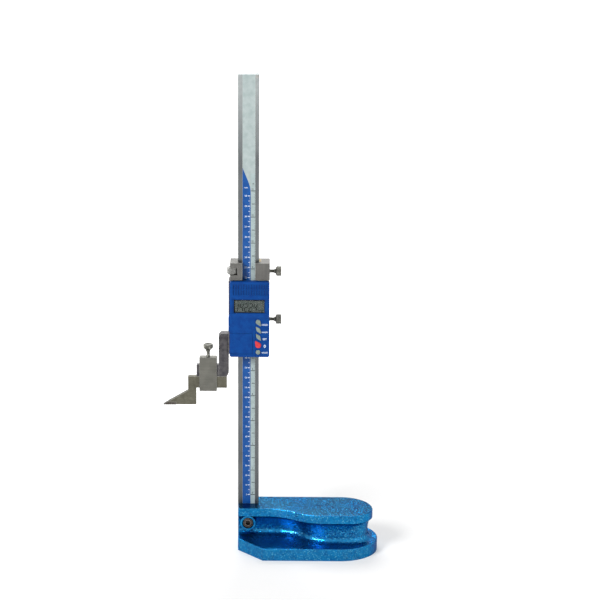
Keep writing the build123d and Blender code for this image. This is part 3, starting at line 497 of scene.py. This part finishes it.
finishes = {
    "base": "basePaint", "beam": "columnSteel", "scale_strip": "labelPale",
    "beam_clamp_screw": "blackSteel", "beam_stop_screw": "brightSteel",
    "carriage": "sliderSteel", "carriage_gib": "brass", "carriage_clamp_screw": "knurlSteel",
    "fine_adjust_nut": "nutSteel", "fine_adjust_rod": "brightSteel",
    "slider_frame": "jawSteel", "slider_gib": "brass", "gib_screws": "blackSteel",
    "slider_lock_screw": "knurlSteel", "rear_plate": "sliderSteel", "body_screws": "brightSteel",
    "scriber_clamp": "clampSteel", "scriber_clamp_screw": "knurlSteel",
    "scriber": "scriberSteel", "scriber_tip": "carbide", "display_housing": "housingBlue",
    "display_lens": "lensClear", "lcd_module": "lcdGrey", "contact_strips": "rubberDark",
    "circuit_board": "boardGreen", "reading_head": "boardGreen", "control_chip": "chipBlack",
    "battery": "cellSteel", "battery_contact_minus": "contactMetal",
    "battery_contact_plus": "contactMetal", "battery_cover": "housingBlue",
    "key_mat": "rubberDark", "key_hold": "keyPale", "key_mm_inch": "keyPale",
    "key_set": "keyPale", "key_zero": "keyRed", "key_power": "keyPale",
}
for name, finish in finishes.items():
    mesh = nodes[name].data
    mesh.materials.clear()
    mesh.materials.append(materials[finish])
print("materials on", len(finishes), "nodes")


# mesh helpers; every shape is given in millimetres in the shared frame
def addPiece(name, points, faces, finish, body, slot, smooth=None):
    # smooth: edges that turn by more degrees than this stay sharp
    mesh = bpy.data.meshes.new(name)
    mesh.from_pydata((np.asarray(points) * mm).tolist(), [], faces)
    mesh.validate()
    if smooth is not None:
        mesh.polygons.foreach_set("use_smooth", np.ones(len(mesh.polygons), bool))
        mesh.set_sharp_from_angle(angle=math.radians(smooth))
    mesh.materials.append(materials[finish])
    mesh.update()
    piece = bpy.data.objects.new(name, mesh)
    scene.collection.objects.link(piece)
    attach(piece, body)
    return piece


def turned(along, radius, turns, relief, looped=False):
    # each level's points stand at r cos t, r sin t and the level, where r is the level's
    # radius less relief(t, level); the ends close on one point each, or, when looped, the
    # profile closes on itself
    angle = np.arange(turns) * 2 * np.pi / turns
    level, theta = np.meshgrid(along, angle, indexing="ij")
    reach = np.repeat(np.asarray(radius)[:, None], turns, 1) - relief(theta, level)
    grid = np.stack([reach * np.cos(theta), reach * np.sin(theta), level], -1)
    rows = len(along)
    index = np.arange(rows * turns).reshape(rows, turns)
    upper = np.roll(index, -1, 0) if looped else index[1:]
    lower = index if looped else index[:-1]
    quads = np.stack([lower, np.roll(lower, -1, 1), np.roll(upper, -1, 1), upper], -1)
    points, faces = grid.reshape(-1, 3), quads.reshape(-1, 4).tolist()
    if not looped:
        first, last = len(points), len(points) + 1
        points = np.vstack([points, [0, 0, along[0]], [0, 0, along[-1]]])
        ring = np.arange(turns)
        nextRing = np.roll(ring, -1)
        faces += np.stack([np.full(turns, first), nextRing, ring], -1).tolist()
        top = (rows - 1) * turns
        faces += np.stack([np.full(turns, last), top + ring, top + nextRing], -1).tolist()
    return points, faces


def aimed(points, origin, direction):
    # turns the local z axis onto the direction and moves the start to the origin
    turn = Vector((0, 0, 1)).rotation_difference(Vector(direction)).to_matrix()
    return np.asarray(points) @ np.array(turn).T + np.asarray(origin)


def tri(value):
    # triangle wave of period 1: 1 on whole numbers, 0 half way between
    return np.abs(2 * (value - np.floor(value)) - 1)


def boxInMm(name):
    low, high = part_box(name)
    return np.array(low) / mm, np.array(high) / mm


def slab(outline, front, back):
    # the outline's (x, z) points, anticlockwise from the front, once at each y, joined by walls
    count = len(outline)
    flat = np.asarray(outline, float)
    sides = [np.stack([flat[:, 0], np.full(count, y), flat[:, 1]], -1) for y in (front, back)]
    ring = np.arange(count)
    after = np.roll(ring, -1)
    walls = np.stack([ring, ring + count, after + count, after], -1)
    return np.vstack(sides), [ring.tolist(), (ring[::-1] + count).tolist()] + walls.tolist()


def gather(parts):
    # one mesh out of several: each one's corners count on from the last one's
    points, faces, offset = [], [], 0
    for some, given in parts:
        points.append(some)
        faces += [[corner + offset for corner in face] for face in given]
        offset += len(some)
    return np.vstack(points), faces


def oblong(left, right, low, high, front, back):
    # a box between two values of x, of z and of y
    return slab([(left, low), (right, low), (right, high), (left, high)], front, back)


def lettering(text, height, squeeze, anchor, at, front, back, bold=0.0):
    # solid figures: x = (drawn x less its anchor) times the scale and the squeeze, z = drawn y
    # times the scale, both from the place they stand at; the two faces lie at front and back
    curve = bpy.data.curves.new("text", "FONT")
    curve.body, curve.size, curve.extrude, curve.resolution_u = text, 1.0, 0.5, 2
    curve.offset = bold
    holder = bpy.data.objects.new("text", curve)
    mesh = bpy.data.meshes.new_from_object(holder)
    # the corners that its faces share are merged and the faces turned outwards
    weld = 0.00001
    work = bmesh.new()
    work.from_mesh(mesh)
    bmesh.ops.remove_doubles(work, verts=work.verts, dist=weld)
    bmesh.ops.recalc_face_normals(work, faces=work.faces)
    work.to_mesh(mesh)
    work.free()
    raw = np.zeros(len(mesh.vertices) * 3)
    mesh.vertices.foreach_get("co", raw)
    raw = raw.reshape(-1, 3)
    faces = [list(face.vertices) for face in mesh.polygons]
    bpy.data.objects.remove(holder)
    bpy.data.curves.remove(curve)
    bpy.data.meshes.remove(mesh)
    low, high = raw.min(0), raw.max(0)
    scale = height / (high[1] - low[1])
    x = (raw[:, 0] - low[0] - anchor * (high[0] - low[0])) * scale * squeeze + at[0]
    z = (raw[:, 1] - low[1]) * scale + at[1]
    y = np.where(raw[:, 2] > 0, front, back)
    return np.stack([x, y, z], -1), faces


# knurled thumbscrews and threads
thumbLook = {
    # radii, lengths and depths in millimetres, from the tip to the head
    "tip": 1.25, "tipPoint": 1.0, "tipChamfer": 0.2, "tipLength": 1.0,
    "thread": 1.72, "pitch": 0.6, "threadDepth": 0.22, "threadSteps": 6,
    "collar": 2.2, "collarLength": 1.2, "undercut": 0.15, "flare": 0.1,
    "head": 4.7, "headLength": 5.7, "cone": 0.9, "chamfer": 0.3, "rimStep": 0.05,
    "knurls": 34, "knurlDepth": 0.34, "bandSteps": 34,
    "dish": 0.45, "dishRadius": 2.9, "dishSlope": 0.5, "dishCentre": 0.4, "rimRound": 0.15,
    "turns": 204,              # corners round the axis
}


def knurledScrew(name, node, axis, body, look):
    # a turned profile; on the head's band the radius loses the knurl depth times the higher of
    # two triangle waves, which wind left and right round the head, and on the shank it loses
    # the thread depth times one triangle wave of the height over the pitch less the turn
    low, high = boxInMm(node)
    end = int(np.argmax(np.abs(axis)))
    origin = (low + high) / 2
    origin[end] = low[end]
    length = high[end] - low[end]
    headStart = length - look["headLength"]
    collarStart = headStart - look["collarLength"]
    bandLow, bandHigh = headStart + look["cone"], length - look["chamfer"]
    rim = look["head"] - look["chamfer"]
    floor = length - look["dish"]
    threadCount = (collarStart - look["tipLength"]) / look["pitch"]
    plain, thread, knurl = 0, 1, 2
    # stretches of the profile: start, radius, end, radius, steps, kind
    stretches = [
        (0.0, look["tipPoint"], look["tipChamfer"], look["tip"], 2, plain),
        (look["tipChamfer"], look["tip"], look["tipLength"], look["tip"], 2, plain),
        (look["tipLength"], look["thread"], collarStart, look["thread"],
         int(threadCount * look["threadSteps"]), thread),
        (collarStart, look["collar"], headStart - look["undercut"], look["collar"], 3, plain),
        (headStart, look["collar"] + look["flare"], bandLow, look["head"], 3, plain),
        (bandLow, look["head"], bandHigh, look["head"], look["bandSteps"], knurl),
        (bandHigh, look["head"] - look["rimStep"], length, rim, 3, plain),
        (length, rim - look["rimRound"], length, look["dishRadius"], 2, plain),
        (floor, look["dishRadius"] - look["dishSlope"], floor, look["dishCentre"], 2, plain),
    ]
    along = np.concatenate([np.linspace(s[0], s[2], s[4]) for s in stretches])
    radius = np.concatenate([np.linspace(s[1], s[3], s[4]) for s in stretches])
    kind = np.concatenate([np.full(s[4], s[5]) for s in stretches])[:, None]

    def relief(theta, level):
        turn = theta / (2 * np.pi)
        count = look["knurls"]
        rise = (level - bandLow) * count / (2 * np.pi * look["head"])
        cross = np.maximum(tri(count * turn + rise), tri(count * turn - rise))
        helix = tri(level / look["pitch"] - turn)
        return np.where(kind == knurl, look["knurlDepth"] * cross, 0) + np.where(
            kind == thread, look["threadDepth"] * helix, 0)

    points, faces = turned(along, radius, look["turns"], relief)
    piece = addPiece(name, aimed(points, origin, axis), faces, "knurlSteel", body,
                     "knurl_steel", smooth=24)
    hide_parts(node)


knurledScrew("carriage_thumbscrew", "carriage_clamp_screw", (1, 0, 0), "carriage_screw", thumbLook)
knurledScrew("lock_thumbscrew", "slider_lock_screw", (1, 0, 0), "lock_screw", thumbLook)
knurledScrew("clamp_thumbscrew", "scriber_clamp_screw", (0, 0, 1), "clamp_screw",
             dict(thumbLook, cone=2.2))

nutLook = {"bore": 1.3, "chamfer": 0.5, "knurls": 40, "depth": 0.28, "turns": 240}
rodLook = {"pitch": 0.45, "depth": 0.16, "threadSteps": 6, "turns": 36, "chamfer": 0.3}


def standing(points, low, high):
    # moves a shape turned about the z axis to the middle of a box, with its foot on the box's
    middle = (low + high) / 2
    return points + np.array([middle[0], middle[1], low[2]])


def adjustNut(look):
    # a ring with a bore; its rim loses the depth times the square of a triangle wave that
    # repeats with every knurl
    low, high = boxInMm("fine_adjust_nut")
    outer, height = (high[0] - low[0]) / 2, high[2] - low[2]
    rim = outer - look["chamfer"]
    along = np.array([0, 0, look["chamfer"], height - look["chamfer"], height, height])
    radius = np.array([look["bore"], rim, outer, outer, rim, look["bore"]])
    band = np.array([0, 0, 1, 1, 0, 0])[:, None]

    def relief(theta, level):
        return look["depth"] * band * tri(look["knurls"] * theta / (2 * np.pi)) ** 2

    points, faces = turned(along, radius, look["turns"], relief, looped=True)
    piece = addPiece("adjusting_nut", standing(points, low, high), faces, "nutSteel",
                     "adjust_nut", "bright_steel", smooth=24)
    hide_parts("fine_adjust_nut")


def threadedRod(look):
    # a bar with chamfered ends; the radius loses the depth times a triangle wave of the height
    # over the pitch less the turn
    low, high = boxInMm("fine_adjust_rod")
    outer, length = (high[0] - low[0]) / 2, high[2] - low[2]
    along = np.linspace(0, length, int(length / look["pitch"] * look["threadSteps"]))
    radius = np.minimum(outer, outer - look["chamfer"] + np.minimum(along, length - along))

    def relief(theta, level):
        return look["depth"] * tri(level / look["pitch"] - theta / (2 * np.pi))

    points, faces = turned(along, radius, look["turns"], relief)
    piece = addPiece("adjusting_rod", standing(points, low, high), faces, "brightSteel",
                     "slider", "bright_steel", smooth=50)
    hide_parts("fine_adjust_rod")


adjustNut(nutLook)
threadedRod(rodLook)
print("thumbscrews, nut and rod turned")


# printed scale
scaleLook = {
    "zero": 50.3,              # height of the scale's zero
    "top": 300,                # millimetres
    "figureEvery": 10,
    "inches": 12, "inch": 25.4, "sixteenths": 16,
    "left": -5.55, "middle": 2.1, "right": 6.38,
    "foot": 0.05, "seam": 0.08, "paleFoot": 41.1, "paleTop": 372.0,
    "sweep": ((2.1, 352.5), (2.02, 355.6), (1.6, 358.6), (0.5, 362.3),
              (-1.6, 367.6), (-5.55, 377.2)),
    "ink": 0.02,               # thickness of one printed layer
    # every how many steps a mark stands, where it starts and half its thickness
    "fineTicks": {1: (0.75, 0.07), 5: (-0.1, 0.24), 10: (-0.62, 0.38)}, "fineEnd": 1.5,
    "inchTicks": {1: (5.2, 0.07), 8: (3.2, 0.32), 16: (2.3, 0.34)},
    # height, squeeze, anchor and x of the figures; the same and the place of the two words
    "fineFigures": (1.75, 0.66, 1.0, -1.3), "fineWord": (1.1, 0.9, 0.5, (-2.3, 357.6)),
    "inchFigures": (1.9, 0.8, 0.5, 3.9), "inchWord": (1.5, 0.9, 0.5, (4.6, 361.4)),
    "inchRise": 0.85,          # the inch figures stand this far above their marks
    "bold": 0.02,
}


def tick(ticks, step):
    # the widest spacing that the step falls on gives the mark its length
    return ticks[max(every for every in ticks if step % every == 0)]


def printedScale(look):
    # mark k is a box at the zero plus k steps, its half thickness up and down; on the left a
    # step is a millimetre, on the right a sixteenth of an inch
    low = boxInMm("scale_strip")[0]
    face, foot = low[1], low[2] + look["foot"]
    first, second = face - look["ink"], face - 2 * look["ink"]
    back, seam = face + look["ink"] / 2, look["middle"] + look["seam"]
    blue = [(look["left"], foot), (look["middle"], foot)] + list(look["sweep"])
    addPiece("scale_blue", *slab(blue, first, back), "printBlue", "stand", "strip_print")
    pale = oblong(seam, look["right"], look["paleFoot"], look["paleTop"], first, back)
    addPiece("scale_pale", *pale, "printPale", "stand", "strip_print")
    whites, blacks = [], []
    size, squeeze, anchor, x = look["fineFigures"]
    for step in range(look["top"] + 1):
        height = look["zero"] + step
        start, thick = tick(look["fineTicks"], step)
        whites.append(oblong(start, look["fineEnd"], height - thick, height + thick,
                             second, first))
        if step % look["figureEvery"] == 0:
            whites.append(lettering(str(step), size, squeeze, anchor, (x, height - size / 2),
                                    second, first, bold=look["bold"]))
    whites.append(lettering("mm", *look["fineWord"], second, first, bold=look["bold"]))
    size, squeeze, anchor, x = look["inchFigures"]
    parts = look["sixteenths"]
    for step in range(parts * look["inches"] + 1):
        height = look["zero"] + step * look["inch"] / parts
        start, thick = tick(look["inchTicks"], step)
        blacks.append(oblong(start, look["right"], height - thick, height + thick,
                             second, first))
        if step % parts == 0:
            blacks.append(lettering(str(step // parts), size, squeeze, anchor,
                                    (x, height + look["inchRise"]), second, first,
                                    bold=look["bold"]))
    blacks.append(lettering("in", *look["inchWord"], second, first, bold=look["bold"]))
    addPiece("scale_marks_mm", *gather(whites), "printWhite", "stand", "strip_print")
    addPiece("scale_marks_inch", *gather(blacks), "printBlack", "stand", "strip_print")


printedScale(scaleLook)
print("scale printed")


# display figures
displayLook = {
    # the figures' foot and head, their lean and left edges
    "reading": "142.24", "low": 238.5, "high": 246.8, "lean": 0.13,
    "lefts": (-13.5, -8.8, -4.4, 0.0, 4.4), "width": 3.5, "bar": 0.82, "gap": 0.14,
    "ink": 0.05, "sink": 0.01,
    "pointLeft": -0.7, "pointSize": 0.8,
    "unit": "mm", "unitHeight": 1.7, "unitSqueeze": 0.9, "unitLeft": 9.8, "unitRise": 0.2,
}
litBars = {
    "0": "abcdef", "1": "bc", "2": "abged", "3": "abgcd", "4": "fgbc",
    "5": "afgcd", "6": "afgedc", "7": "abc", "8": "abcdefg", "9": "abcdfg",
}


def displayFigures(look):
    # a lit bar is a hexagon along the line between two corners of its figure, half a bar wide
    # to each side and pointed at both ends; x then leans by lean times the height
    back = boxInMm("lcd_module")[0][1] + look["sink"]
    front = back - look["ink"]
    height, width, bar = look["high"] - look["low"], look["width"], look["bar"]
    half = height / 2
    # each bar runs between two corners: left or right, then bottom, middle or top
    runs = {
        "a": ((0, height), (width, height)), "g": ((0, half), (width, half)),
        "d": ((0, 0), (width, 0)), "b": ((width, half), (width, height)),
        "c": ((width, 0), (width, half)), "f": ((0, half), (0, height)), "e": ((0, 0), (0, half)),
    }
    inset = np.array([bar / 2, bar / 2])
    shrink = (np.array([width, height]) - bar) / np.array([width, height])
    parts = []
    for left, figure in zip(look["lefts"], look["reading"].replace(".", "")):
        for key in litBars[figure]:
            start, end = (np.array(corner) * shrink + inset for corner in runs[key])
            way = (end - start) / np.linalg.norm(end - start)
            side = np.array([-way[1], way[0]]) * bar / 2
            a, b = start + way * look["gap"], end - way * look["gap"]
            nose = way * bar / 2
            hexagon = np.array([a, a + nose - side, b - nose - side,
                                b, b - nose + side, a + nose + side])
            x = hexagon[:, 0] + left + look["lean"] * hexagon[:, 1]
            outline = np.stack([x, hexagon[:, 1] + look["low"]], -1)
            parts.append(slab(outline, front, back))
    size, corner = look["pointSize"], look["pointLeft"]
    parts.append(oblong(corner, corner + size, look["low"], look["low"] + size, front, back))
    parts.append(lettering(look["unit"], look["unitHeight"], look["unitSqueeze"], 0.0,
                           (look["unitLeft"], look["low"] + look["unitRise"]), front, back))
    addPiece("display_figures", *gather(parts), "lcdDark", "slider", "lcd")


displayFigures(displayLook)
# the painted shadow's widths at each side, its thickness, its rebate and its reach under the rim
maskLook = {
    "left": 1.3, "right": 0.4, "bottom": 0.35, "top": 1.2,
    "ink": 0.03, "rebate": 1.0, "under": 0.5,
}


def displayMask(look):
    # a painted shadow on the display: four dark boxes, wider at the left and at the top, that reach
    # under the housing's rim
    low, high = boxInMm("display_lens")
    front = boxInMm("lcd_module")[0][1]
    left, right = low[0] + look["rebate"], high[0] - look["rebate"]
    foot, head = low[2] + look["rebate"], high[2] - look["rebate"]
    under, y = look["under"], (front - look["ink"], front + look["ink"] / 2)
    inLeft, inRight = left + look["left"], right - look["right"]
    strips = [
        oblong(left - under, inLeft, foot - under, head + under, *y),
        oblong(inRight, right + under, foot - under, head + under, *y),
        oblong(inLeft, inRight, head - look["top"], head + under, *y),
        oblong(inLeft, inRight, foot - under, foot + look["bottom"], *y),
    ]
    addPiece("display_mask", *gather(strips), "maskBlack", "slider", "lcd")


displayMask(maskLook)


# key legends and the cover's arrow
legendLook = {
    # word, height of its middle, height of its letters
    "words": (("HOLD", 226.6, 1.8), ("mm/in", 219.4, 1.8), ("SET", 212.3, 1.9),
              ("0", 205.3, 3.2), ("ON/OFF", 198.8, 1.6)),
    "centre": 15.85, "widest": 5.7, "ink": 0.03, "keyRise": 0.9, "bold": 0.03,
    "arrow": ((-16.0, 209.4), (-13.2, 208.0), (-13.2, 210.8)),
    "arrowRise": 0.3, "arrowSink": 0.2,
}


def keyLegends(look):
    # each word stands half its height above and below its key's middle, and x is pressed
    # together where the word would be wider than the widest
    panel = boxInMm("key_set")[0][1] + look["keyRise"]
    parts = []
    for word, middle, height in look["words"]:
        points, faces = lettering(word, height, 1.0, 0.5, (0.0, middle - height / 2),
                                  panel - look["ink"], panel + look["ink"], bold=look["bold"])
        wide = points[:, 0].max() - points[:, 0].min()
        points[:, 0] = points[:, 0] * min(1.0, look["widest"] / wide) + look["centre"]
        parts.append((points, faces))
    addPiece("key_legends", *gather(parts), "printWhite", "slider", "key_pale")
    cover = boxInMm("battery_cover")[0][1]
    arrow = slab(look["arrow"], cover - look["arrowRise"], cover + look["arrowSink"])
    addPiece("cover_arrow", *arrow, "housingBlue", "battery_cover", "housing_plastic")


keyLegends(legendLook)
print("display and legends placed")


# floor, light and background
studioLook = {
    "floorSize": 14.0, "floorColour": (0.62, 0.62, 0.62, 1.0), "floorRough": 0.9,
    "white": (1.0, 1.0, 1.0, 1.0),
    # the paper's glow, near the object and further off, and where it changes
    "nearGlow": 0.36, "farGlow": 1.0, "glowFrom": 0.16, "glowTo": 0.6,
    "worldLight": 0.24,        # on the object; what is seen of the world is plain white
    # name, place, size, watts, seen by the camera
    "lamps": (
        ("keyLight", (-1.3, -1.5, 1.6), 0.8, 46.0, True),
        ("fillLight", (1.6, -1.2, 0.9), 0.8, 4.0, True),
        ("backLight", (-0.3, 1.6, 1.9), 1.3, 34.0, False),
    ),
    "aim": (0.02, 0.0, 0.2),
}


def seenRays(tree):
    # 1 for rays from the camera, from mirrors and through glass
    rays = wire(tree, "LightPath")
    some = calc(tree, "MAXIMUM", rays.outputs["Is Camera Ray"], rays.outputs["Is Glossy Ray"])
    return calc(tree, "MAXIMUM", some, rays.outputs["Is Transmission Ray"])


def buildStudio(look):
    world = bpy.data.worlds.new("studio")
    scene.world = world
    world.use_nodes = True
    tree = world.node_tree
    tree.nodes.clear()
    strength = between(tree, seenRays(tree), look["worldLight"], 1.0)
    glow = wire(tree, "Background", Color=look["white"], Strength=strength)
    output = wire(tree, "OutputWorld")
    tree.links.new(glow.outputs[0], output.inputs["Surface"])

    half = look["floorSize"] / 2
    mesh = bpy.data.meshes.new("floor")
    mesh.from_pydata([(-half, -half, 0), (half, -half, 0), (half, half, 0), (-half, half, 0)],
                     [], [(0, 1, 2, 3)])
    floor = bpy.data.objects.new("floor", mesh)
    scene.collection.objects.link(floor)
    material, tree, shader, spot = newMaterial(
        "floorPaper", Roughness=look["floorRough"], Base_Color=look["floorColour"],
        Emission_Color=look["white"])
    # the paper glows more the further it lies from the object, so it ends in plain white
    reach = vectorCalc(tree, "LENGTH", a=spot)["Value"]
    level = spread(tree, reach, look["glowFrom"], look["glowTo"],
                   look["nearGlow"], look["farGlow"])
    feed(tree, shader, Emission_Strength=times(tree, seenRays(tree), level))
    mesh.materials.append(material)

    for name, where, size, watts, seen in look["lamps"]:
        lamp = bpy.data.lights.new(name, "AREA")
        lamp.shape, lamp.size, lamp.energy = "SQUARE", size, watts
        holder = bpy.data.objects.new(name, lamp)
        scene.collection.objects.link(holder)
        holder.visible_camera = seen
        turn = (Vector(look["aim"]) - Vector(where)).to_track_quat("-Z", "Y")
        holder.matrix_world = Matrix.Translation(where) @ turn.to_matrix().to_4x4()


buildStudio(studioLook)
print("studio set")
